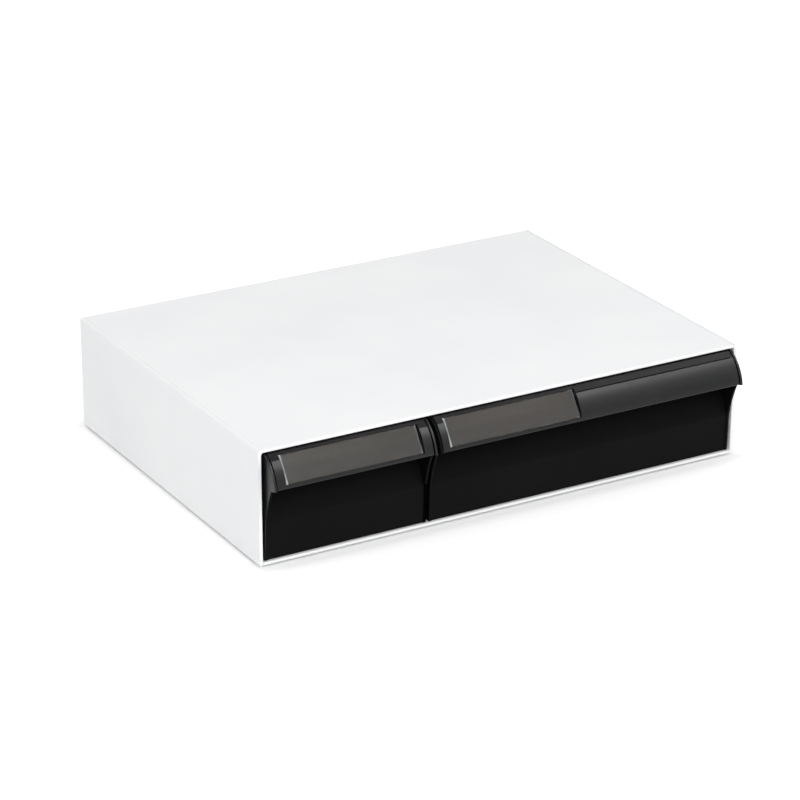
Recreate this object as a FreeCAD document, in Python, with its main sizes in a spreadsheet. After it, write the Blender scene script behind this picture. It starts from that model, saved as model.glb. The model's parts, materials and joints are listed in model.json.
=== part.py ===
import FreeCAD, Part
import math
import os
import re
import Sketcher

# Desktop drawer organizer: a white case with two black drawers side by side.
#
# Frame: X to the right along the front, Y from front to back, Z up, all in millimetres.
# The origin lies at the middle of the footprint, on the surface that the feet stand on.
# Inside each sub-part, lengths are counted from the case's front plane (across the depth)
# and from the case's underside (upwards), so that all sections read alike.

# Every size that can be set by itself, in millimetres or degrees. A drop is counted downwards:
# on a drawer's front from its top edge, on a tray from the top panel's underside, and on the
# back panel from the case's top.
SIZES = {
    # Case
    "case_width": 340.0,
    "case_depth": 248.0,
    "case_height": 74.3,
    "side_wall": 2.2,
    "top_wall": 2.0,
    "base_wall": 1.9,
    "back_wall": 2.4,
    "partition_wall": 2.0,
    "partition_front_gap": 1.8,
    "case_edge_round": 1.6,
    "panel_edge_round": 0.5,
    "seam_gap": 0.15,
    "seam_bevel": 0.35,
    "top_ledge": 1.6,
    # Feet
    "foot_radius": 7.0,
    "foot_gap": 1.5,
    "foot_recess": 0.7,
    "foot_inset_side": 22.0,
    "foot_inset_end": 22.0,
    "foot_fit": 0.15,
    "foot_edge_round": 0.4,
    # Drawer fronts and the gaps round them
    "narrow_front_width": 109.8,
    "drawer_side_gap": 1.8,
    "drawer_between_gap": 2.2,
    "drawer_floor_gap": 0.6,
    "drawer_top_gap": 1.4,
    "face_step": 0.6,
    "face_wall": 2.2,
    "pocket_low": 27.0,
    "pocket_drop": 23.9,
    "pocket_depth": 11.4,
    # Cheeks at the ends of a front
    "cheek_wall": 1.5,
    "cheek_foot_back": 1.0,
    "cheek_sweep_low": 26.0,
    "cheek_sweep_radius": 90.0,
    "cheek_neck_out": 8.0,
    "cheek_neck_drop": 20.3,
    "cheek_edge_round": 0.4,
    "lip_radius": 25.7,
    "lip_centre_back": 12.0,
    "lip_centre_drop": 22.6,
    "lip_bottom_drop": 18.7,
    # Pull hoods between the cheeks
    "hood_wall": 2.2,
    "hood_end_gap": 0.8,
    "hood_radius": 30.0,
    "hood_crease_out": 4.4,
    "hood_crease_drop": 3.0,
    "hood_shoulder_back": 0.3,
    "hood_tip_out": 12.6,
    "hood_edge_round": 0.6,
    "crease_groove": 1.8,
    "crease_end_margin": 4.0,
    # Labels
    "label_length": 93.2,
    "label_height": 18.2,
    "label_tilt": 34.4,
    "label_top_out": 1.6,
    "label_top_drop": 1.1,
    "label_fit": 0.2,
    "wide_label_margin": 7.3,
    "card_thickness": 0.4,
    "card_end_inset": 1.6,
    "window_thickness": 1.6,
    "window_end_bevel": 1.3,
    "window_edge_bevel": 0.3,
    "label_backing": 1.6,
    "label_backing_margin": 2.0,
    # Trays
    "tray_wall": 1.8,
    "tray_rim_drop": 8.3,
    "tray_corner_round": 4.0,
    "tray_floor_round": 3.0,
    "tray_rear_gap": 3.0,
    "flange_thickness": 2.0,
    "tab_width": 26.0,
    "tab_height": 6.5,
    # Rails
    "rail_space": 6.0,
    "rail_web": 1.4,
    "rail_leg": 2.4,
    "rail_running_gap": 0.3,
    "rail_rear_gap": 2.6,
    # Stops
    "drawer_travel": 190.0,
    "stop_running_gap": 0.3,
    "stop_width": 34.0,
    "stop_blade": 3.0,
    "stop_flange": 9.0,
    "stop_flange_thickness": 1.6,
    "stop_rim_gap": 2.5,
    # Screws and the bosses that take them
    "screw_radius": 1.25,
    "screw_length": 8.0,
    "screw_head_radius": 2.2,
    "screw_head_height": 1.3,
    "screw_slot_length": 2.9,
    "screw_slot_width": 0.6,
    "screw_slot_depth": 0.5,
    "screw_bite_gap": 0.05,
    "screw_pass_gap": 0.35,
    "screw_tip_gap": 1.0,
    "boss_reach": 5.6,
    "boss_length": 8.0,
    "boss_depth": 10.0,
    "front_boss_radius": 3.2,
    "front_screw_high": 20.0,
    "front_screw_inset": 16.0,
    "base_screw_inset": 30.0,
    "back_screw_low": 16.0,
    "back_screw_drop": 24.3,
}
NARROW_SCREWS = 2
WIDE_SCREWS = 3
BASE_SCREW_ROWS = 3

# Places that follow from the sizes
HALF_WIDTH = "(case_width / 2)"
INNER_HALF = "(case_width / 2 - side_wall)"
TOP_UNDERSIDE = "(case_height - top_wall)"
PANEL_EDGE = "(case_width / 2 - side_wall - seam_gap)"
CASE_SCREW_LINE = "(case_width / 2 - side_wall - boss_reach / 2)"
LIP_REACH = "(sqrt(lip_radius ^ 2 - (lip_centre_drop - lip_bottom_drop) ^ 2) - lip_centre_back)"
CASE_FRONT = "((" + LIP_REACH + " - case_depth) / 2)"
FRONT_BOTTOM = "(base_wall + drawer_floor_gap)"
FRONT_TOP = "(case_height - top_wall - drawer_top_gap)"
CHEEK_NECK = "(" + FRONT_TOP + " - cheek_neck_drop)"
LIP_CENTRE = "(" + FRONT_TOP + " - lip_centre_drop)"
LIP_BOTTOM = "(" + FRONT_TOP + " - lip_bottom_drop)"
HOOD_CREASE = "(" + FRONT_TOP + " - hood_crease_drop)"
LABEL_TOP = "(" + FRONT_TOP + " - label_top_drop)"
POCKET_TOP = "(" + FRONT_TOP + " - pocket_drop)"
FACE_FOOT = "(cheek_foot_back + face_step)"
POCKET_BACK = "(face_step + pocket_depth)"
TRAY_FRONT = "(face_step + pocket_depth + face_wall)"
TRAY_REAR = "(case_depth - back_wall - tray_rear_gap)"
PARTITION_FRONT = "(" + TRAY_FRONT + " + partition_front_gap)"
TRAY_RIM = "(" + TOP_UNDERSIDE + " - tray_rim_drop)"
FLANGE_LOW = "(" + TRAY_RIM + " - flange_thickness)"
BETWEEN_CLEAR = "((drawer_between_gap - partition_wall) / 2)"
NARROW_LEFT = "(side_wall + drawer_side_gap - case_width / 2)"
WIDE_LEFT = "(" + NARROW_LEFT + " + narrow_front_width + drawer_between_gap)"
WIDE_WIDTH = ("(case_width - 2 * side_wall - 2 * drawer_side_gap - drawer_between_gap"
              " - narrow_front_width)")
PARTITION_MIDDLE = "(" + NARROW_LEFT + " + narrow_front_width + drawer_between_gap / 2)"
STOP_REAR = "(" + TRAY_REAR + " - tray_wall - drawer_travel - stop_running_gap)"
BITE_RADIUS = "(screw_radius + screw_bite_gap)"
PASS_RADIUS = "(screw_radius + screw_pass_gap)"
BACK_SCREW_ROWS = {"low": "back_screw_low", "high": "(case_height - back_screw_drop)"}

doc = FreeCAD.newDocument("DrawerOrganizer")
sheet = doc.addObject("Spreadsheet::Sheet", "Sizes")
nodes = []


def fill_sheet():
    """Writes each size into the sheet under its own name."""
    for row, (name, value) in enumerate(SIZES.items(), 1):
        sheet.set("A%d" % row, name)
        sheet.set("B%d" % row, str(value))
        sheet.setAlias("B%d" % row, name)
    doc.recompute()


def from_sheet(expression):
    """Turns the names of sizes in an expression into references to the sheet."""
    return re.sub(r"\b[a-z]+(?:_[a-z]+)+\b", r"Sizes.\g<0>", expression)


def number(expression):
    return float(sheet.evalExpression(from_sheet(expression)))


def bind(thing, **properties):
    for name, expression in properties.items():
        thing.setExpression(name, from_sheet(expression))


def place(thing, across, back, up):
    """Puts a sub-part's own origin at a point given from the case's front plane and underside."""
    thing.setExpression("Placement.Base.x", from_sheet(across))
    thing.setExpression("Placement.Base.y", from_sheet(CASE_FRONT + " + " + back))
    thing.setExpression("Placement.Base.z", from_sheet("foot_gap + " + up))


def new_body(label, across="0", back="0", up="0"):
    body = doc.addObject("PartDesign::Body", label)
    body.Label = label
    place(body, across, back, up)
    nodes.append(body)
    return body


def new_sketch(body, name, plane, offset="0"):
    """A sketch on one of the body's own planes, moved along that plane's normal."""
    sketch = body.newObject("Sketcher::SketchObject", body.Name + "_" + name)
    support = [item for item in body.Origin.OriginFeatures if item.Role == plane]
    sketch.AttachmentSupport = [(support[0], "")]
    sketch.MapMode = "FlatFace"
    sketch.setExpression("AttachmentOffset.Base.z", from_sheet(offset))
    return sketch


def hold(sketch, constraint, expression):
    index = sketch.addConstraint(constraint)
    sketch.setExpression("Constraints[%d]" % index, from_sheet(expression))


def outline(sketch, corners, arcs=None):
    """Closes a loop through corners, each a pair of expressions.

    arcs gives some edges, by number, a radius and the side of the way round on which
    their centre lies: 1 for left, -1 for right. The other edges are straight.
    """
    arcs = arcs or {}
    points = [FreeCAD.Vector(number(u), number(v), 0) for u, v in corners]
    edges = []
    for index, start in enumerate(points):
        end = points[(index + 1) % len(points)]
        if index not in arcs:
            edges.append((sketch.addGeometry(Part.LineSegment(start, end), False), 1, 2))
            continue
        radius, side = arcs[index]
        half = (end - start) * 0.5
        across = FreeCAD.Vector(-half.y, half.x, 0).normalize() * side
        rise = math.sqrt(number(radius) ** 2 - half.Length ** 2)
        centre = start + half + across * rise
        first, last = (start, end) if side > 0 else (end, start)
        turn_first = math.atan2(first.y - centre.y, first.x - centre.x)
        turn_last = math.atan2(last.y - centre.y, last.x - centre.x)
        if turn_last < turn_first:
            turn_last += 2 * math.pi
        circle = Part.Circle(centre, FreeCAD.Vector(0, 0, 1), number(radius))
        edge = sketch.addGeometry(Part.ArcOfCircle(circle, turn_first, turn_last), False)
        edges.append((edge, 1, 2) if side > 0 else (edge, 2, 1))
    for index, (edge, start, end) in enumerate(edges):
        following = edges[(index + 1) % len(edges)]
        sketch.addConstraint(
            Sketcher.Constraint("Coincident", edge, end, following[0], following[1]))
        u, v = corners[index]
        across = Sketcher.Constraint("DistanceX", -1, 1, edge, start, points[index].x)
        hold(sketch, across, u)
        up = Sketcher.Constraint("DistanceY", -1, 1, edge, start, points[index].y)
        hold(sketch, up, v)
        if index in arcs:
            radius = arcs[index][0]
            hold(sketch, Sketcher.Constraint("Radius", edge, number(radius)), radius)


def rectangle(sketch, left, low, right, high):
    outline(sketch, [(left, low), (right, low), (right, high), (left, high)])


def circle(sketch, across, up, radius):
    middle = FreeCAD.Vector(number(across), number(up), 0)
    ring = Part.Circle(middle, FreeCAD.Vector(0, 0, 1), number(radius))
    edge = sketch.addGeometry(ring, False)
    hold(sketch, Sketcher.Constraint("DistanceX", -1, 1, edge, 3, middle.x), across)
    hold(sketch, Sketcher.Constraint("DistanceY", -1, 1, edge, 3, middle.y), up)
    hold(sketch, Sketcher.Constraint("Radius", edge, number(radius)), radius)


def grow(kind, body, sketch, length, reverse):
    """Adds a pad or pocket of a sketch and stops if it changed nothing."""
    before = body.Shape.Volume if body.Tip else 0.0
    feature = body.newObject("PartDesign::" + kind, sketch.Name + "_" + kind)
    feature.Profile = sketch
    feature.Reversed = reverse
    bind(feature, Length=length)
    sketch.Visibility = False
    doc.recompute()
    change = body.Shape.Volume - before
    if kind == "Pad" and change <= 0 or kind == "Pocket" and change >= 0:
        raise ValueError(feature.Name + " changed nothing")
    return feature


def pad(body, sketch, length, reverse=False):
    return grow("Pad", body, sketch, length, reverse)


def pocket(body, sketch, length, reverse=False):
    return grow("Pocket", body, sketch, length, reverse)


def near(value, expression):
    return abs(value - number(expression)) < 0.01


def edges_where(body, wanted):
    """Names of the body's edges that pass a test."""
    edges = enumerate(body.Tip.Shape.Edges, 1)
    return ["Edge%d" % index for index, edge in edges if wanted(edge)]


def ends_where(wanted):
    """A test for an edge: both of its ends, in the body's own frame, pass a test for a point."""
    return lambda edge: len(edge.Vertexes) == 2 and all(wanted(end.Point) for end in edge.Vertexes)


def soften(body, name, size, wanted, kind="Fillet"):
    """Rounds or bevels the edges that pass a test."""
    base = body.Tip
    names = edges_where(body, wanted)
    if not names:
        raise ValueError(body.Name + " has no edge for " + name)
    feature = body.newObject("PartDesign::" + kind, body.Name + "_" + name)
    feature.Base = (base, names)
    bind(feature, **{"Radius" if kind == "Fillet" else "Size": size})
    doc.recompute()


# Case

def slab(label, left, right, front, rear, low, high):
    """A flat panel given by its six faces."""
    body = new_body(label)
    sketch = new_sketch(body, "plan", "XY_Plane", low)
    rectangle(sketch, left, front, right, rear)
    pad(body, sketch, high + " - " + low)
    return body


def along_front(edge):
    """An edge that runs along the case's front plane."""
    return near(edge.BoundBox.YMin, "0") and near(edge.BoundBox.YMax, "0") and edge.BoundBox.XLength > 10


def make_top_panel():
    body = slab("top_panel", "-" + PANEL_EDGE, PANEL_EDGE, "0", "case_depth", TOP_UNDERSIDE, "case_height")
    soften(body, "front_edge", "panel_edge_round", along_front)
    soften(body, "seam_bevel", "seam_bevel",
           ends_where(lambda p: near(p.z, "case_height") and near(abs(p.x), PANEL_EDGE)), "Chamfer")


def screw_rows():
    """Distances behind the case's front at which a row of screws holds the base."""
    step = "(case_depth - 2 * base_screw_inset) / %d" % (BASE_SCREW_ROWS - 1)
    return ["(base_screw_inset + %d * %s)" % (row, step) for row in range(BASE_SCREW_ROWS)]


def base_screw_places():
    return [(side + CASE_SCREW_LINE, back) for side in ("-", "") for back in screw_rows()]


def back_screw_places():
    return [(side + CASE_SCREW_LINE, up) for side in ("-", "")
            for up in BACK_SCREW_ROWS.values()]


def countersunk_holes(body, sketch):
    """Screw holes with a sunk head, drilled at the circles of a sketch along its normal."""
    before = body.Shape.Volume
    hole = body.newObject("PartDesign::Hole", body.Name + "_screw_holes")
    hole.Profile = sketch
    doc.recompute()
    hole.Threaded = False
    hole.Reversed = True
    hole.DepthType = "ThroughAll"
    bind(hole, Diameter="2 * " + PASS_RADIUS)
    hole.HoleCutType = "Countersink"
    hole.HoleCutCustomValues = True
    bind(hole, HoleCutDiameter="2 * (screw_head_radius + screw_bite_gap)")
    turn = "2 * atan((screw_head_radius - screw_radius) / screw_head_height)"
    bind(hole, HoleCutCountersinkAngle=turn)
    sketch.Visibility = False
    doc.recompute()
    if body.Shape.Volume >= before:
        raise ValueError(hole.Name + " changed nothing")


def make_base_panel():
    body = slab("base_panel", "-" + PANEL_EDGE, PANEL_EDGE, "0", "case_depth", "0", "base_wall")
    soften(body, "front_edge", "panel_edge_round", along_front)
    seats = new_sketch(body, "foot_seats", "XY_Plane")
    for across, back in foot_places():
        circle(seats, across, back, "(foot_radius + foot_fit)")
    pocket(body, seats, "foot_recess", reverse=True)
    drilled = new_sketch(body, "screw_centres", "XY_Plane")
    for across, back in base_screw_places():
        circle(drilled, across, back, PASS_RADIUS)
    countersunk_holes(body, drilled)


def make_side_panel(label, side):
    """One side wall. side is -1 on the left and 1 on the right."""
    body = new_body(label, "%d * %s" % (side, HALF_WIDTH))

    def inward(distance):
        return "(%d * (%s))" % (-side, distance)

    section = new_sketch(body, "section", "XZ_Plane")
    ledge_foot = "(case_height - top_wall - top_ledge)"
    corners = [(inward("0"), "panel_edge_round"), (inward("panel_edge_round"), "0"),
               (inward("side_wall"), "0"), (inward("side_wall"), ledge_foot),
               (inward("side_wall + top_ledge"), TOP_UNDERSIDE), (inward("side_wall"), TOP_UNDERSIDE),
               (inward("side_wall"), "case_height"), (inward("case_edge_round"), "case_height"),
               (inward("0"), "(case_height - case_edge_round)")]
    arcs = {0: ("panel_edge_round", -side), 3: ("top_ledge", side),
            7: ("case_edge_round", -side)}
    outline(section, corners, arcs)
    pad(body, section, "case_depth", reverse=True)
    soften(body, "front_edge", "panel_edge_round",
           ends_where(lambda p: near(p.y, "0") and near(p.x, inward("side_wall"))
                      and p.z < number(ledge_foot) + 0.01))
    for row, back in enumerate(screw_rows(), 1):
        boss = new_sketch(body, "base_boss_%d" % row, "XY_Plane", "base_wall")
        rectangle(boss, inward("side_wall / 2"), back + " - boss_length / 2",
                  inward("side_wall + boss_reach"), back + " + boss_length / 2")
        pad(body, boss, "boss_depth")
    for name, up in BACK_SCREW_ROWS.items():
        boss = new_sketch(body, "back_boss_" + name, "XZ_Plane", "back_wall - case_depth")
        rectangle(boss, inward("side_wall / 2"), up + " - boss_length / 2",
                  inward("side_wall + boss_reach"), up + " + boss_length / 2")
        pad(body, boss, "boss_depth")
    bore_depth = "screw_length + screw_tip_gap"
    base_bores = new_sketch(body, "base_bores", "XY_Plane", "base_wall")
    for back in screw_rows():
        circle(base_bores, inward("side_wall + boss_reach / 2"), back, BITE_RADIUS)
    pocket(body, base_bores, bore_depth + " - base_wall", reverse=True)
    back_bores = new_sketch(body, "back_bores", "XZ_Plane", "back_wall - case_depth")
    for up in BACK_SCREW_ROWS.values():
        circle(back_bores, inward("side_wall + boss_reach / 2"), up, BITE_RADIUS)
    pocket(body, back_bores, bore_depth + " - back_wall", reverse=True)


def make_back_panel():
    body = new_body("back_panel")
    sketch = new_sketch(body, "elevation", "XZ_Plane", "-case_depth")
    rectangle(sketch, "-" + PANEL_EDGE, "base_wall", PANEL_EDGE, TOP_UNDERSIDE)
    pad(body, sketch, "back_wall")
    drilled = new_sketch(body, "screw_centres", "XZ_Plane", "-case_depth")
    for across, up in back_screw_places():
        circle(drilled, across, up, PASS_RADIUS)
    countersunk_holes(body, drilled)
    soften(body, "upper_corners", "top_ledge",
           lambda edge: near(edge.BoundBox.ZMin, TOP_UNDERSIDE) and edge.BoundBox.XLength < 0.01)


def make_centre_partition():
    slab("centre_partition", PARTITION_MIDDLE + " - partition_wall / 2",
         PARTITION_MIDDLE + " + partition_wall / 2", PARTITION_FRONT,
         "(case_depth - back_wall)", "base_wall", TOP_UNDERSIDE)


def make_rail(label, wall, side):
    """A channel fixed to a wall, open towards the tray. side is 1 if the tray lies to its right."""
    body = new_body(label, wall)
    slot_low = "(%s - rail_running_gap)" % FLANGE_LOW
    slot_high = "(%s + rail_running_gap)" % TRAY_RIM
    rail_face = "(rail_space - 2 * rail_running_gap)"

    def out(distance):
        return "(%d * %s)" % (side, distance)

    section = new_sketch(body, "section", "XZ_Plane", "-" + PARTITION_FRONT)
    outline(section, [(out("0"), slot_low + " - rail_leg"), (out(rail_face), slot_low + " - rail_leg"),
                      (out(rail_face), slot_low), (out("rail_web"), slot_low),
                      (out("rail_web"), slot_high), (out(rail_face), slot_high),
                      (out(rail_face), slot_high + " + rail_leg"), (out("0"), slot_high + " + rail_leg")])
    pad(body, section, "case_depth - back_wall - rail_rear_gap - " + PARTITION_FRONT, reverse=True)


def make_stop(drawer):
    """An angle under the top panel. The tray's rear tab meets its blade at the end of the travel."""
    body = new_body(drawer["name"] + "_drawer_stop", drawer["left"] + " + " + drawer["tray_middle"])
    section = new_sketch(body, "section", "YZ_Plane", "-stop_width / 2")
    blade_front = STOP_REAR + " - stop_blade"
    flange_low = TOP_UNDERSIDE + " - stop_flange_thickness"
    blade_foot = TRAY_RIM + " + stop_rim_gap"
    outline(section, [(blade_front, blade_foot), (STOP_REAR, blade_foot), (STOP_REAR, TOP_UNDERSIDE),
                      (STOP_REAR + " - stop_flange", TOP_UNDERSIDE),
                      (STOP_REAR + " - stop_flange", flange_low), (blade_front, flange_low)])
    pad(body, section, "stop_width")


def foot_places():
    across = "(case_width / 2 - foot_inset_side)"
    return [(side + across, back) for back in ("foot_inset_end", "(case_depth - foot_inset_end)")
            for side in ("-", "")]


def make_feet():
    names = ("foot_front_left", "foot_front_right", "foot_rear_left", "foot_rear_right")
    for label, (across, back) in zip(names, foot_places()):
        body = new_body(label, across, back)
        sketch = new_sketch(body, "plan", "XY_Plane", "-foot_gap")
        circle(sketch, "0", "0", "foot_radius")
        pad(body, sketch, "foot_gap + foot_recess")
        soften(body, "rim", "foot_edge_round", lambda edge: near(edge.BoundBox.ZMax, "-foot_gap"))


# Screws

def screw(name, across, back, up, tilt):
    """A countersunk screw. tilt turns it about X from standing on its head, in degrees."""
    head = doc.addObject("Part::Cone", name + "_head")
    bind(head, Radius1="screw_head_radius", Radius2="screw_radius", Height="screw_head_height")
    shank = doc.addObject("Part::Cylinder", name + "_shank")
    bind(shank, Radius="screw_radius", Height="screw_length")
    whole = doc.addObject("Part::Fuse", name + "_blank")
    whole.Base = head
    whole.Tool = shank
    slots = []
    for turn in (0, 90):
        slot = doc.addObject("Part::Box", name + "_slot_%d" % turn)
        sizes = ("screw_slot_length", "screw_slot_width")
        if turn == 90:
            sizes = sizes[::-1]
        bind(slot, Length=sizes[0], Width=sizes[1], Height="screw_slot_depth")
        slot.setExpression("Placement.Base.x", from_sheet("-%s / 2" % sizes[0]))
        slot.setExpression("Placement.Base.y", from_sheet("-%s / 2" % sizes[1]))
        slots.append(slot)
    cross = doc.addObject("Part::Fuse", name + "_cross")
    cross.Base, cross.Tool = slots
    cut = doc.addObject("Part::Cut", name)
    cut.Base = whole
    cut.Tool = cross
    cut.Placement = FreeCAD.Placement(FreeCAD.Vector(), FreeCAD.Rotation(FreeCAD.Vector(1, 0, 0), tilt))
    place(cut, across, back, up)
    return cut


def screw_group(label, screws):
    group = doc.addObject("Part::Compound", label)
    group.Label = label
    group.Links = screws
    nodes.append(group)


def make_case_screws():
    screws = [screw("base_screw_%d" % index, across, back, "0", 0)
              for index, (across, back) in enumerate(base_screw_places(), 1)]
    screw_group("base_screws", screws)
    screws = [screw("back_screw_%d" % index, across, "case_depth", up, 90)
              for index, (across, up) in enumerate(back_screw_places(), 1)]
    screw_group("back_screws", screws)


# Drawers

def describe_drawer(name, left, width, before, after, label_left, screws):
    """Everything the pieces of one drawer share. Its pieces count from the front's left end."""
    tray_left = "(rail_space - %s)" % before
    tray_width = "(%s + %s + %s - 2 * rail_space)" % (width, before, after)
    step = "(%s - 2 * front_screw_inset) / %d" % (tray_width, screws - 1)
    return {
        "name": name,
        "left": left,
        "width": width,
        "tray_left": tray_left,
        "tray_width": tray_width,
        "tray_middle": "(%s + %s / 2)" % (tray_left, tray_width),
        "label_left": label_left,
        "screws": ["(%s + front_screw_inset + %d * %s)" % (tray_left, index, step)
                   for index in range(screws)],
    }


def rims_cheek(edge):
    """A curved edge round the forward part of a cheek's side faces."""
    box = edge.BoundBox
    return isinstance(edge.Curve, Part.Circle) and box.XLength < 0.01 and box.YMin < -0.01


def make_drawer_front(drawer):
    """The face with its finger pocket, and a cheek at each end.

    The lower face lies a small step behind the cheeks' edges and leans as they do.
    """
    body = new_body(drawer["name"] + "_drawer_front", drawer["left"])
    face = new_sketch(body, "face", "YZ_Plane")
    front_line = [(FACE_FOOT, FRONT_BOTTOM), ("face_step", "pocket_low"),
                  (POCKET_BACK, POCKET_TOP), (POCKET_BACK, FRONT_TOP + " - hood_wall")]
    rear_line = [(u + " + face_wall", v) for u, v in reversed(front_line)]
    outline(face, rear_line + front_line)
    pad(body, face, drawer["width"])
    bosses = new_sketch(body, "bosses", "XZ_Plane", "-" + TRAY_FRONT)
    for across in drawer["screws"]:
        circle(bosses, across, "front_screw_high", "front_boss_radius")
    pad(body, bosses, "pocket_depth + face_wall / 2")
    bores = new_sketch(body, "bores", "XZ_Plane", "-" + TRAY_FRONT)
    for across in drawer["screws"]:
        circle(bores, across, "front_screw_high", BITE_RADIUS)
    pocket(body, bores, "screw_length - tray_wall + screw_tip_gap", reverse=True)

    def lip_front(up):
        return "(lip_centre_back - sqrt(lip_radius ^ 2 - (%s - %s) ^ 2))" % (up, LIP_CENTRE)

    cheek = new_sketch(body, "cheek", "YZ_Plane")
    outline(cheek, [(TRAY_FRONT, FRONT_BOTTOM), (TRAY_FRONT, FRONT_TOP),
                    (lip_front(FRONT_TOP), FRONT_TOP), (lip_front(LIP_BOTTOM), LIP_BOTTOM),
                    ("-cheek_neck_out", CHEEK_NECK), ("0", "cheek_sweep_low"),
                    ("cheek_foot_back", FRONT_BOTTOM)],
            {2: ("lip_radius", 1), 4: ("cheek_sweep_radius", -1)})
    first = pad(body, cheek, "cheek_wall")
    pair = body.newObject("PartDesign::LinearPattern", body.Name + "_cheeks")
    pair.Originals = [first]
    pair.Direction = (cheek, ["N_Axis"])
    bind(pair, Length=drawer["width"] + " - cheek_wall")
    pair.Occurrences = 2
    body.Tip = pair
    doc.recompute()
    soften(body, "cheek_edges", "cheek_edge_round", rims_cheek)


def slanted(down, out):
    """A point of the label's plane, so far down its slope and so far out of it."""
    u = "(-label_top_out - %s * sin(label_tilt * 1 deg) - %s * cos(label_tilt * 1 deg))"
    v = "(%s - %s * cos(label_tilt * 1 deg) + %s * sin(label_tilt * 1 deg))"
    return u % (down, out), v % (LABEL_TOP, down, out)


def out_of_label(point):
    """How far a point lies out of the label's plane."""
    tilt = math.radians(number("label_tilt"))
    back = point.y + number("label_top_out")
    return (point.z - number(LABEL_TOP)) * math.sin(tilt) - back * math.cos(tilt)


def slanted_block(sketch, top, bottom, inner, outer):
    outline(sketch, [slanted(top, inner), slanted(bottom, inner), slanted(bottom, outer),
                     slanted(top, outer)])


def make_pull_hood(drawer):
    """The curved lip between the cheeks, with a flat seat for the label."""
    body = new_body(drawer["name"] + "_pull_hood", drawer["left"])
    end = "(cheek_wall + hood_end_gap)"
    section = new_sketch(body, "section", "YZ_Plane", end)
    under = FRONT_TOP + " - hood_wall"
    inward, downward = "hood_wall * cos(label_tilt * 1 deg)", "hood_wall * sin(label_tilt * 1 deg)"
    outline(section, [(TRAY_FRONT, FRONT_TOP), ("hood_shoulder_back", FRONT_TOP),
                      ("-hood_crease_out", HOOD_CREASE), ("-hood_tip_out", LIP_BOTTOM),
                      ("hood_wall - hood_tip_out", LIP_BOTTOM),
                      (inward + " - hood_crease_out", HOOD_CREASE + " - " + downward),
                      ("hood_shoulder_back + " + downward, under), (TRAY_FRONT, under)],
            {2: ("hood_radius", 1), 4: ("(hood_radius - hood_wall)", -1)})
    pad(body, section, drawer["width"] + " - 2 * " + end)
    add_label_seat(body, drawer)
    if drawer["name"] == "wide":
        cut_crease(body, drawer)
    soften(body, "tip_edges", "hood_edge_round",
           lambda edge: edge.BoundBox.XLength > 10
           and ends_where(lambda p: near(p.z, LIP_BOTTOM))(edge))


def add_label_seat(body, drawer):
    """A backing behind the hood's wall, and the flat seat cut through the wall into it."""
    seat_depth = "(card_thickness + window_thickness)"
    backing = new_sketch(body, "backing", "YZ_Plane", drawer["label_left"] + " - label_backing_margin")
    slanted_block(backing, "0", "label_height", "(-%s - label_backing)" % seat_depth,
                  "(-window_thickness / 2)")
    pad(body, backing, "label_length + 2 * label_backing_margin")
    seat = new_sketch(body, "seat", "YZ_Plane", drawer["label_left"] + " - label_fit")
    slanted_block(seat, "(-label_fit)", "(label_height + label_fit)", "(-%s)" % seat_depth,
                  "(2 * hood_wall)")
    pocket(body, seat, "label_length + 2 * label_fit", reverse=True)


def cut_crease(body, drawer):
    """A fine groove along the crease, from the label's seat to near the right end."""
    start = "(%s + label_length + label_fit)" % drawer["label_left"]
    groove = new_sketch(body, "crease", "YZ_Plane", start)
    rectangle(groove, "-hood_crease_out - crease_groove", HOOD_CREASE,
              "-hood_crease_out + crease_groove / 2", HOOD_CREASE + " + crease_groove")
    pocket(body, groove, "%s - %s - crease_end_margin" % (drawer["width"], start), reverse=True)


def bevel_window(window, name, size, wanted):
    """Bevels those edges of the window's outer face that pass a test."""
    soften(window, name, size,
           lambda edge: wanted(edge) and ends_where(lambda p: near(out_of_label(p), "0"))(edge),
           "Chamfer")


def make_label(drawer):
    """The card in the seat, and over it the clear window, longer than the card by its bevelled ends."""
    card = new_body(drawer["name"] + "_label_card", drawer["left"])
    section = new_sketch(card, "section", "YZ_Plane", drawer["label_left"] + " + card_end_inset")
    seat = "(-card_thickness - window_thickness)"
    slanted_block(section, "0", "label_height", seat, "(-window_thickness)")
    pad(card, section, "label_length - 2 * card_end_inset")
    window = new_body(drawer["name"] + "_label_window", drawer["left"])
    section = new_sketch(window, "section", "YZ_Plane", drawer["label_left"])
    slanted_block(section, "0", "label_height", "(-window_thickness)", "0")
    pad(window, section, "label_length")
    bevel_window(window, "end_bevels", "window_end_bevel", lambda edge: edge.BoundBox.XLength < 0.01)
    bevel_window(window, "edge_bevels", "window_edge_bevel", lambda edge: edge.BoundBox.XLength > 10)


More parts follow.
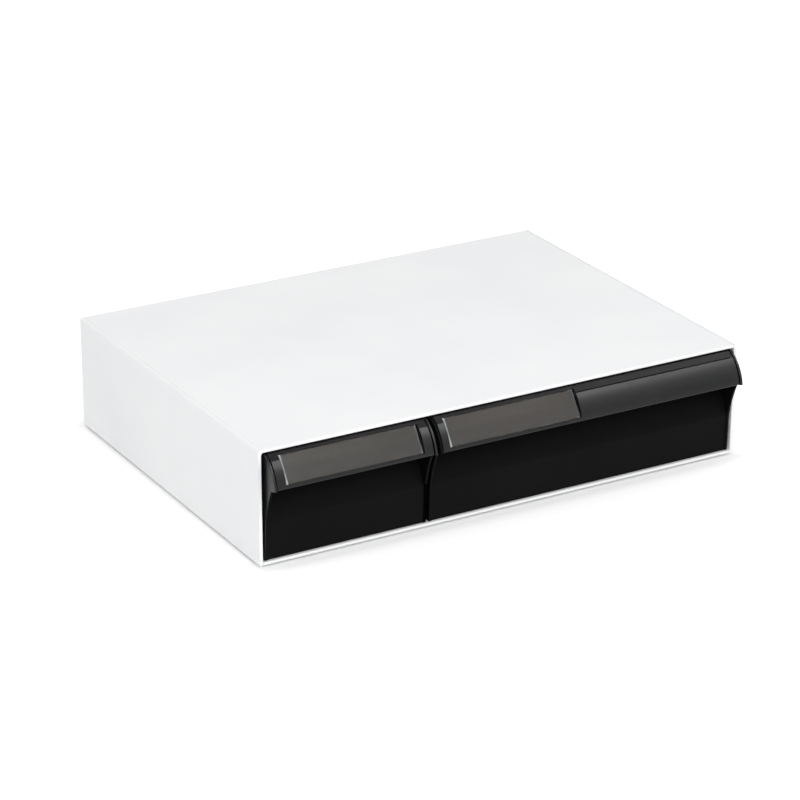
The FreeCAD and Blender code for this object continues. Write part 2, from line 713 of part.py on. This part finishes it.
def make_tray(drawer):
    """The open box, with a flange along each side and a tab on its rear wall."""
    body = new_body(drawer["name"] + "_tray", drawer["left"])
    left = drawer["tray_left"]
    right = "(%s + %s)" % (left, drawer["tray_width"])
    plan = new_sketch(body, "plan", "XY_Plane", FRONT_BOTTOM)
    rectangle(plan, left, TRAY_FRONT, right, TRAY_REAR)
    pad(body, plan, TRAY_RIM + " - " + FRONT_BOTTOM)
    soften(body, "corners", "tray_corner_round", lambda edge: edge.BoundBox.ZLength > 1)
    soften(body, "floor_edges", "tray_floor_round", lambda edge: near(edge.BoundBox.ZMax, FRONT_BOTTOM))
    solid = body.Tip
    rim = ["Face%d" % index for index, face in enumerate(solid.Shape.Faces, 1)
           if near(face.BoundBox.ZMin, TRAY_RIM)]
    hollow = body.newObject("PartDesign::Thickness", body.Name + "_hollow")
    hollow.Base = (solid, rim)
    hollow.Reversed = True
    bind(hollow, Value="tray_wall")
    doc.recompute()
    reach = "(rail_space - rail_web - rail_running_gap)"
    for name, near_side, far_side in (("left", left + " + tray_wall / 2", left + " - " + reach),
                                      ("right", right + " - tray_wall / 2", right + " + " + reach)):
        flange = new_sketch(body, name + "_flange", "XY_Plane", FLANGE_LOW)
        rectangle(flange, near_side, TRAY_FRONT + " + tray_corner_round + rail_web",
                  far_side, TRAY_REAR + " - tray_corner_round")
        pad(body, flange, "flange_thickness")
    tab = new_sketch(body, "tab", "XZ_Plane", "-" + TRAY_REAR)
    rectangle(tab, drawer["tray_middle"] + " - tab_width / 2", FLANGE_LOW,
              drawer["tray_middle"] + " + tab_width / 2", TRAY_RIM + " + tab_height")
    pad(body, tab, "tray_wall")
    drilled = new_sketch(body, "screw_centres", "XZ_Plane", "-%s - tray_wall" % TRAY_FRONT)
    for across in drawer["screws"]:
        circle(drilled, across, "front_screw_high", PASS_RADIUS)
    countersunk_holes(body, drilled)


def make_front_screws(drawer):
    screws = [screw("%s_front_screw_%d" % (drawer["name"], index), drawer["left"] + " + " + across,
                    TRAY_FRONT + " + tray_wall", "front_screw_high", 90)
              for index, across in enumerate(drawer["screws"], 1)]
    screw_group(drawer["name"] + "_front_screws", screws)


def make_drawers():
    narrow_margin = "((narrow_front_width - label_length) / 2)"
    drawers = [
        describe_drawer("narrow", NARROW_LEFT, "narrow_front_width", "drawer_side_gap",
                        BETWEEN_CLEAR, narrow_margin, NARROW_SCREWS),
        describe_drawer("wide", WIDE_LEFT, WIDE_WIDTH, BETWEEN_CLEAR, "drawer_side_gap",
                        "wide_label_margin", WIDE_SCREWS),
    ]
    for drawer in drawers:
        make_drawer_front(drawer)
        make_pull_hood(drawer)
        make_label(drawer)
        make_tray(drawer)
        make_front_screws(drawer)
        make_stop(drawer)


def make_case():
    make_top_panel()
    make_base_panel()
    make_side_panel("left_side_panel", -1)
    make_side_panel("right_side_panel", 1)
    make_back_panel()
    make_centre_partition()
    half_partition = "partition_wall / 2"
    make_rail("narrow_left_rail", "-" + INNER_HALF, 1)
    make_rail("narrow_right_rail", PARTITION_MIDDLE + " - " + half_partition, -1)
    make_rail("wide_left_rail", PARTITION_MIDDLE + " + " + half_partition, 1)
    make_rail("wide_right_rail", INNER_HALF, -1)
    make_feet()
    make_case_screws()


def write_nodes():
    """Checks every object and sub-part, then writes one STEP file for each sub-part."""
    doc.recompute()
    for item in doc.Objects:
        if "Invalid" in item.State or "Error" in item.State:
            raise ValueError(item.Name + " failed: " + str(item.State))
    for node in nodes:
        if node.Shape.isNull() or not node.Shape.isValid():
            raise ValueError(node.Label + " has no valid shape")
    os.makedirs("parts", exist_ok=True)
    for node in nodes:
        node.Shape.exportStep("parts/%s.step" % node.Label)


fill_sheet()
make_case()
make_drawers()
write_nodes()
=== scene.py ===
import json
import math

import bpy
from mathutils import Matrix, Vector


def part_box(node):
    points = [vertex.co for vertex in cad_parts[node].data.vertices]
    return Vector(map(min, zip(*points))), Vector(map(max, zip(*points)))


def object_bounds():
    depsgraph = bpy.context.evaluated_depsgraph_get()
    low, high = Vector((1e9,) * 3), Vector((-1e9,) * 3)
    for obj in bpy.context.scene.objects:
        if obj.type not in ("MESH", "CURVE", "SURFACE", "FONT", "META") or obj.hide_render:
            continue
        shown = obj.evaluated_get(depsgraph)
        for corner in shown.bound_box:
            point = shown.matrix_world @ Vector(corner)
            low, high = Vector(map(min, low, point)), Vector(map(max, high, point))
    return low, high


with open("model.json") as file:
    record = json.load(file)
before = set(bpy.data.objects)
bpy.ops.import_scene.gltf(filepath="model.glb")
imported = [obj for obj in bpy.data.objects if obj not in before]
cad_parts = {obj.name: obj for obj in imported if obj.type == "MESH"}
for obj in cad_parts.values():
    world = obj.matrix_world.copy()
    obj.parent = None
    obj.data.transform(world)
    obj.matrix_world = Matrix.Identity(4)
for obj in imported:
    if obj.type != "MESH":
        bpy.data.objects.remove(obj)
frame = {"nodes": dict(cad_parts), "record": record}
cad_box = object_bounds()
NODES = frame["nodes"]

# Camera, in metres and degrees: it stands in front of the case, to its left and above it
CAMERA_AZIMUTH = -29.8
CAMERA_ELEVATION = 22.62
CAMERA_DISTANCE = 2.058
CAMERA_TARGET = Vector((-0.0034, 0.0074, 0.0285))
CAMERA_LENS = 144.3
CAMERA_SENSOR = 36

# Places on a drawer's front, in metres: how far its cheeks and their outer skins reach inwards, and
# the heights where the lips begin and where the painted shade at the foot of a cheek ends
CHEEK_WALL = 0.0016
SIDE_SKIN = 0.0002
LIP_BOTTOM = 0.0536
GAP_SHADE_TOP = 0.03
# A face looks to the left where its normal's X is below this
LEFT_NORMAL = -0.5

# Noise scales of the grain in moulded plastic, per metre, and the refraction of clear plastic
FINE_GRAIN = 2200.0
COARSE_GRAIN = 1400.0
CLEAR_IOR = 1.49

# Floor: its size in metres, its colour, two distances from the case with the floor's own light at
# them, and how much that light grows with each metre. That light is nil beside the case, a painted
# shade around it
FLOOR_SIZE = 12
FLOOR_COLOUR = (0.9, 0.9, 0.9, 1)
FLOOR_LIFT = {"From Min": -0.006, "From Max": 0.016, "To Min": 0.0, "To Max": 0.34}
LIFT_PER_METRE = 0.08

WHITE = (1, 1, 1, 1)

# Sky: the sine of the elevation, and how bright the sky is there, the two ends first
SKY = ((0.0, 0.45), (1.0, 0.15), (0.35, 0.65), (0.65, 1.0), (0.85, 0.4))

# Lamps: name, place, the point that it faces, size and watts
LAMPS = (
    ("key", (0.95, -0.91, 1.52), (0.1, -0.12, 0.06), (1.4, 0.5), 8.2),
    ("fill_left", (-1.6, -0.2, 0.6), (0, 0, 0), (0.9, 0.9), 2.6),
    ("fill_front", (-0.6, -1.6, 1.05), (0, 0, 0), (0.9, 0.6), 12.2),
    ("low_front", (-0.4, -1.7, 0.3), (0, 0, 0.03), (0.8, 0.3), 2.0),
    ("overhead", (-0.5, 0.6, 1.8), (0, 0, 0), (1.0, 1.0), 4.2),
)


# Materials

def new_material(name):
    """A node material, its tree and its main shader."""
    material = bpy.data.materials.new(name)
    material.use_nodes = True
    tree = material.node_tree
    shader = tree.nodes["Principled BSDF"]
    return material, tree, shader


def add(tree, kind, **sockets):
    """Adds a node and sets its unlinked sockets by name."""
    node = tree.nodes.new(kind)
    for name, value in sockets.items():
        node.inputs[name.replace("_", " ")].default_value = value
    return node


def calculate(tree, operation, *values):
    """Adds a Math node whose inputs are numbers or other nodes' outputs."""
    node = tree.nodes.new("ShaderNodeMath")
    node.operation = operation
    for socket, value in zip(node.inputs, values):
        if isinstance(value, bpy.types.NodeSocket):
            tree.links.new(value, socket)
        else:
            socket.default_value = value
    return node.outputs[0]


def object_noise(tree, scale, detail=2.0, roughness=0.5, stretch=(1, 1, 1)):
    """Noise that lies in the object's own metres."""
    place = tree.nodes.new("ShaderNodeTexCoord")
    mapping = add(tree, "ShaderNodeMapping", Scale=stretch)
    noise = add(tree, "ShaderNodeTexNoise", Scale=scale, Detail=detail, Roughness=roughness)
    tree.links.new(place.outputs["Object"], mapping.inputs["Vector"])
    tree.links.new(mapping.outputs["Vector"], noise.inputs["Vector"])
    return noise.outputs["Fac"]


def ramp(tree, source, low, high, start=0.3, end=0.7):
    """Spreads a value over two colours or two grey levels."""
    node = tree.nodes.new("ShaderNodeValToRGB")
    for element, place, colour in zip(node.color_ramp.elements, (start, end), (low, high)):
        element.position = place
        element.color = (*colour, 1) if hasattr(colour, "__len__") else (colour, colour, colour, 1)
    tree.links.new(source, node.inputs["Fac"])
    return node.outputs["Color"]


def bump(tree, shader, source, depth):
    """Raises the surface by a value, up to a depth in metres."""
    node = add(tree, "ShaderNodeBump", Strength=1.0, Distance=depth)
    tree.links.new(source, node.inputs["Height"])
    tree.links.new(node.outputs["Normal"], shader.inputs["Normal"])


def moulded_plastic(name, dark, light, smooth, rough, grain_depth, grain_scale=FINE_GRAIN,
                    specular=0.5):
    """Moulded plastic: a faint cloudiness in colour and gloss, and a fine grain."""
    material, tree, shader = new_material(name)
    cloud = object_noise(tree, 14.0, detail=3.0)
    tree.links.new(ramp(tree, cloud, dark, light), shader.inputs["Base Color"])
    patches = object_noise(tree, 60.0, detail=4.0, roughness=0.6)
    tree.links.new(ramp(tree, patches, smooth, rough), shader.inputs["Roughness"])
    shader.inputs["Specular IOR Level"].default_value = specular
    bump(tree, shader, object_noise(tree, grain_scale), grain_depth)
    return material


def label_card():
    """Grey-brown card with a faint lie of fibres along it."""
    material, tree, shader = new_material("label_card")
    fibres = object_noise(tree, 900.0, detail=3.0, roughness=0.6, stretch=(0.25, 1, 1))
    tree.links.new(ramp(tree, fibres, (0.1, 0.083, 0.07), (0.122, 0.101, 0.085)),
                   shader.inputs["Base Color"])
    shader.inputs["Roughness"].default_value = 0.75
    bump(tree, shader, fibres, 0.00002)
    return material


def clear_window():
    """Clear glossy plastic with a trace of haze."""
    material, tree, shader = new_material("clear_window")
    haze = object_noise(tree, 120.0, detail=3.0)
    tree.links.new(ramp(tree, haze, 0.06, 0.12), shader.inputs["Roughness"])
    shader.inputs["Base Color"].default_value = (0.93, 0.95, 0.95, 1)
    shader.inputs["Transmission Weight"].default_value = 1.0
    shader.inputs["IOR"].default_value = CLEAR_IOR
    return material


def glint_plastic():
    """The bevelled left end of a window: pale frosted plastic on that end only, a painted glint
    where it catches the light.
    """
    material, tree, shader = new_material("window_painted_glint")
    haze = object_noise(tree, 300.0, detail=3.0)
    tree.links.new(ramp(tree, haze, (0.62, 0.64, 0.66), (0.8, 0.82, 0.84)),
                   shader.inputs["Base Color"])
    tree.links.new(ramp(tree, haze, 0.35, 0.55), shader.inputs["Roughness"])
    shader.inputs["Transmission Weight"].default_value = 0.3
    shader.inputs["IOR"].default_value = CLEAR_IOR
    return material


def rubber():
    """Dull dark rubber with fine specks."""
    material, tree, shader = new_material("foot_rubber")
    specks = object_noise(tree, 1500.0, detail=4.0)
    tree.links.new(ramp(tree, specks, 0.03, 0.06), shader.inputs["Base Color"])
    shader.inputs["Roughness"].default_value = 0.85
    bump(tree, shader, specks, 0.00008)
    return material


def zinc_steel():
    """Zinc-coated steel, unevenly worn."""
    material, tree, shader = new_material("screw_steel")
    wear = object_noise(tree, 1800.0, detail=3.0)
    tree.links.new(ramp(tree, wear, (0.48, 0.48, 0.5), (0.66, 0.66, 0.68)),
                   shader.inputs["Base Color"])
    tree.links.new(ramp(tree, wear, 0.28, 0.45), shader.inputs["Roughness"])
    shader.inputs["Metallic"].default_value = 1.0
    return material


MATERIALS = {
    "case_white_plastic": moulded_plastic(
        "case_white", (0.84, 0.845, 0.855), (0.87, 0.875, 0.88),
        smooth=0.55, rough=0.65, grain_depth=0.000012, specular=0.25),
    "front_black_plastic": moulded_plastic(
        "front_black", (0.0045, 0.0047, 0.0053), (0.0065, 0.0067, 0.0075),
        smooth=0.27, rough=0.35, grain_depth=0.00001),
    "tray_black_plastic": moulded_plastic(
        "tray_black", (0.012, 0.012, 0.014), (0.018, 0.018, 0.02),
        smooth=0.5, rough=0.62, grain_depth=0.00003, grain_scale=COARSE_GRAIN),
    "inner_black_plastic": moulded_plastic(
        "inner_black", (0.014, 0.014, 0.015), (0.02, 0.02, 0.021),
        smooth=0.5, rough=0.6, grain_depth=0.00002),
    "foot_rubber": rubber(),
    "screw_steel": zinc_steel(),
    "label_card_paper": label_card(),
    "label_window_clear": clear_window(),
}


def dress_nodes():
    """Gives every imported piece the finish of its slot."""
    for subpart in frame["record"]["subparts"]:
        node = NODES[subpart["node"]]
        node.data.materials.clear()
        node.data.materials.append(MATERIALS[subpart["material_slot"]])


def refinish(node, material, wanted):
    """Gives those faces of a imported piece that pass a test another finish."""
    node.data.materials.append(material)
    for polygon in node.data.polygons:
        if wanted(polygon):
            polygon.material_index = len(node.data.materials) - 1


def is_matt(polygon, glossy_sides):
    """Whether a face is neither on the outer side nor on the lip of a glossy cheek."""
    from_side = min(abs(polygon.center.x - side) for side in glossy_sides)
    outer_side = from_side < SIDE_SKIN
    lip = from_side < CHEEK_WALL and polygon.center.z > LIP_BOTTOM
    return not (outer_side or lip)


def in_painted_gap_shade(polygon, side):
    """Whether a face is on the low part of the cheek that has this side, where a near-black finish
    paints the shade of the gap between the drawers.
    """
    return abs(polygon.center.x - side) < CHEEK_WALL and polygon.center.z < GAP_SHADE_TOP


def faces_left(polygon):
    return polygon.normal.x < LEFT_NORMAL


def dress_details():
    """Matt fronts with glossy cheeks, and a painted glint on the left bevel of each label window.
    Of the two cheeks at the gap, the wide drawer's takes the darker matt finish as painted shade,
    and the narrow drawer's foot is painted near black as the gap's shade."""
    matt = moulded_plastic("face_black", (0.003, 0.0028, 0.003), (0.0042, 0.004, 0.0042),
                           smooth=0.5, rough=0.6, grain_depth=0.00003, grain_scale=COARSE_GRAIN,
                           specular=0.06)
    # Near-black finish for the foot of the narrow drawer's cheek beside the gap: painted shade of
    # the gap between the drawers
    shade_paint = moulded_plastic("painted_shade_black", (0.0004, 0.0004, 0.0005), (0.0008, 0.0008, 0.0009),
                           smooth=0.6, rough=0.7, grain_depth=0.00003, grain_scale=COARSE_GRAIN,
                           specular=0.01)
    glint_paint = glint_plastic()
    for drawer in ("narrow", "wide"):
        front = NODES[drawer + "_drawer_front"]
        low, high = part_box(drawer + "_drawer_front")
        # The wide drawer keeps only its right cheek glossy: its left cheek, in the shaded gap,
        # takes the darker matt finish as painted shade
        glossy_sides = (low.x, high.x) if drawer == "narrow" else (high.x,)
        refinish(front, matt, lambda polygon: is_matt(polygon, glossy_sides))
        if drawer == "narrow":
            # Painted shade on the narrow drawer's cheek foot at the gap
            refinish(front, shade_paint, lambda polygon: in_painted_gap_shade(polygon, high.x))
        # Only the left-facing end of each window takes the pale finish: a painted glint
        refinish(NODES[drawer + "_label_window"], glint_paint, faces_left)


# Stage: camera, floor, sky and lamps

def camera_place():
    """Where the camera stands, from its direction and its distance."""
    azimuth, elevation = math.radians(CAMERA_AZIMUTH), math.radians(CAMERA_ELEVATION)
    towards = Vector((math.sin(azimuth) * math.cos(elevation),
                      -math.cos(azimuth) * math.cos(elevation), math.sin(elevation)))
    return CAMERA_TARGET + towards * CAMERA_DISTANCE


def make_camera():
    camera = bpy.data.objects.new("camera", bpy.data.cameras.new("camera"))
    bpy.context.scene.collection.objects.link(camera)
    camera.location = camera_place()
    camera.rotation_euler = (CAMERA_TARGET - camera.location).to_track_quat("-Z", "Y").to_euler()
    camera.data.lens = CAMERA_LENS
    camera.data.sensor_width = CAMERA_SENSOR
    bpy.context.scene.camera = camera


def painted_shade_lift(tree):
    """The floor's own light: none under the case and little right beside it, a painted shade around
    its footprint, and more with the distance from it.
    """
    place = tree.nodes.new("ShaderNodeTexCoord")
    split = tree.nodes.new("ShaderNodeSeparateXYZ")
    tree.links.new(place.outputs["Object"], split.inputs[0])
    low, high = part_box("left_side_panel")
    half_depth, middle = (high.y - low.y) / 2, (high.y + low.y) / 2
    beyond = []
    for axis, centre, half in (("X", 0, cad_box[1].x), ("Y", middle, half_depth)):
        offset = calculate(tree, "SUBTRACT", split.outputs[axis], centre)
        beyond.append(calculate(tree, "SUBTRACT", calculate(tree, "ABSOLUTE", offset), half))
    distance = calculate(tree, "MAXIMUM", *beyond)
    level = tree.nodes.new("ShaderNodeMapRange")
    level.interpolation_type = "SMOOTHSTEP"
    for name, value in FLOOR_LIFT.items():
        level.inputs[name].default_value = value
    tree.links.new(distance, level.inputs["Value"])
    return calculate(tree, "MULTIPLY_ADD", distance, LIFT_PER_METRE, level.outputs["Result"])


def pale_surface(name):
    """White to the camera, and in reflections and through clear pieces too."""
    material, tree, shader = new_material(name)
    tree.nodes.remove(shader)
    path = tree.nodes.new("ShaderNodeLightPath").outputs
    plain = add(tree, "ShaderNodeBsdfDiffuse", Color=FLOOR_COLOUR)
    lift = add(tree, "ShaderNodeEmission", Color=WHITE)
    # Camera rays alone see this light; where it is low beside the case, the floor shows painted
    # shade
    to_camera = calculate(tree, "MULTIPLY", path["Is Camera Ray"], painted_shade_lift(tree))
    tree.links.new(to_camera, lift.inputs["Strength"])
    lifted = tree.nodes.new("ShaderNodeAddShader")
    tree.links.new(plain.outputs[0], lifted.inputs[0])
    tree.links.new(lift.outputs[0], lifted.inputs[1])
    glow = add(tree, "ShaderNodeEmission", Color=WHITE, Strength=1.0)
    mix = tree.nodes.new("ShaderNodeMixShader")
    reflected = calculate(tree, "MAXIMUM", path["Is Glossy Ray"], path["Is Transmission Ray"])
    tree.links.new(reflected, mix.inputs["Fac"])
    tree.links.new(lifted.outputs[0], mix.inputs[1])
    tree.links.new(glow.outputs[0], mix.inputs[2])
    tree.links.new(mix.outputs[0], tree.nodes["Material Output"].inputs["Surface"])
    return material


def make_floor():
    bpy.ops.mesh.primitive_plane_add(size=FLOOR_SIZE, location=(0, 0, 0))
    floor = bpy.context.object
    floor.name = "floor"
    floor.data.materials.append(pale_surface("floor_white"))


def make_lamp(name, place, target, size, watts):
    lamp = bpy.data.objects.new(name, bpy.data.lights.new(name, "AREA"))
    bpy.context.scene.collection.objects.link(lamp)
    lamp.location = place
    lamp.rotation_euler = (Vector(target) - Vector(place)).to_track_quat("-Z", "Y").to_euler()
    lamp.data.shape = "RECTANGLE"
    lamp.data.size, lamp.data.size_y = size
    lamp.data.energy = watts


def make_sky():
    """A sky whose brightness depends on the elevation alone, white where it is seen itself."""
    world = bpy.data.worlds.new("world")
    world.use_nodes = True
    tree = world.node_tree
    place = tree.nodes.new("ShaderNodeTexCoord")
    split = tree.nodes.new("ShaderNodeSeparateXYZ")
    tree.links.new(place.outputs["Generated"], split.inputs[0])
    glow = tree.nodes.new("ShaderNodeValToRGB")
    elements = glow.color_ramp.elements
    for index, (height, level) in enumerate(SKY):
        element = elements[index] if index < 2 else elements.new(height)
        element.position = height
        element.color = (level, level, level, 1)
    tree.links.new(split.outputs["Z"], glow.inputs["Fac"])
    path = tree.nodes.new("ShaderNodeLightPath").outputs
    seen = calculate(tree, "MAXIMUM", path["Is Camera Ray"], path["Is Transmission Ray"])
    white = add(tree, "ShaderNodeMixRGB", Color2=WHITE)
    tree.links.new(seen, white.inputs["Fac"])
    tree.links.new(glow.outputs["Color"], white.inputs["Color1"])
    tree.links.new(white.outputs["Color"], tree.nodes["Background"].inputs["Color"])
    bpy.context.scene.world = world


dress_nodes()
dress_details()
make_camera()
make_floor()
make_sky()
for lamp_values in LAMPS:
    make_lamp(*lamp_values)

bpy.context.scene.view_settings.view_transform = "Standard"
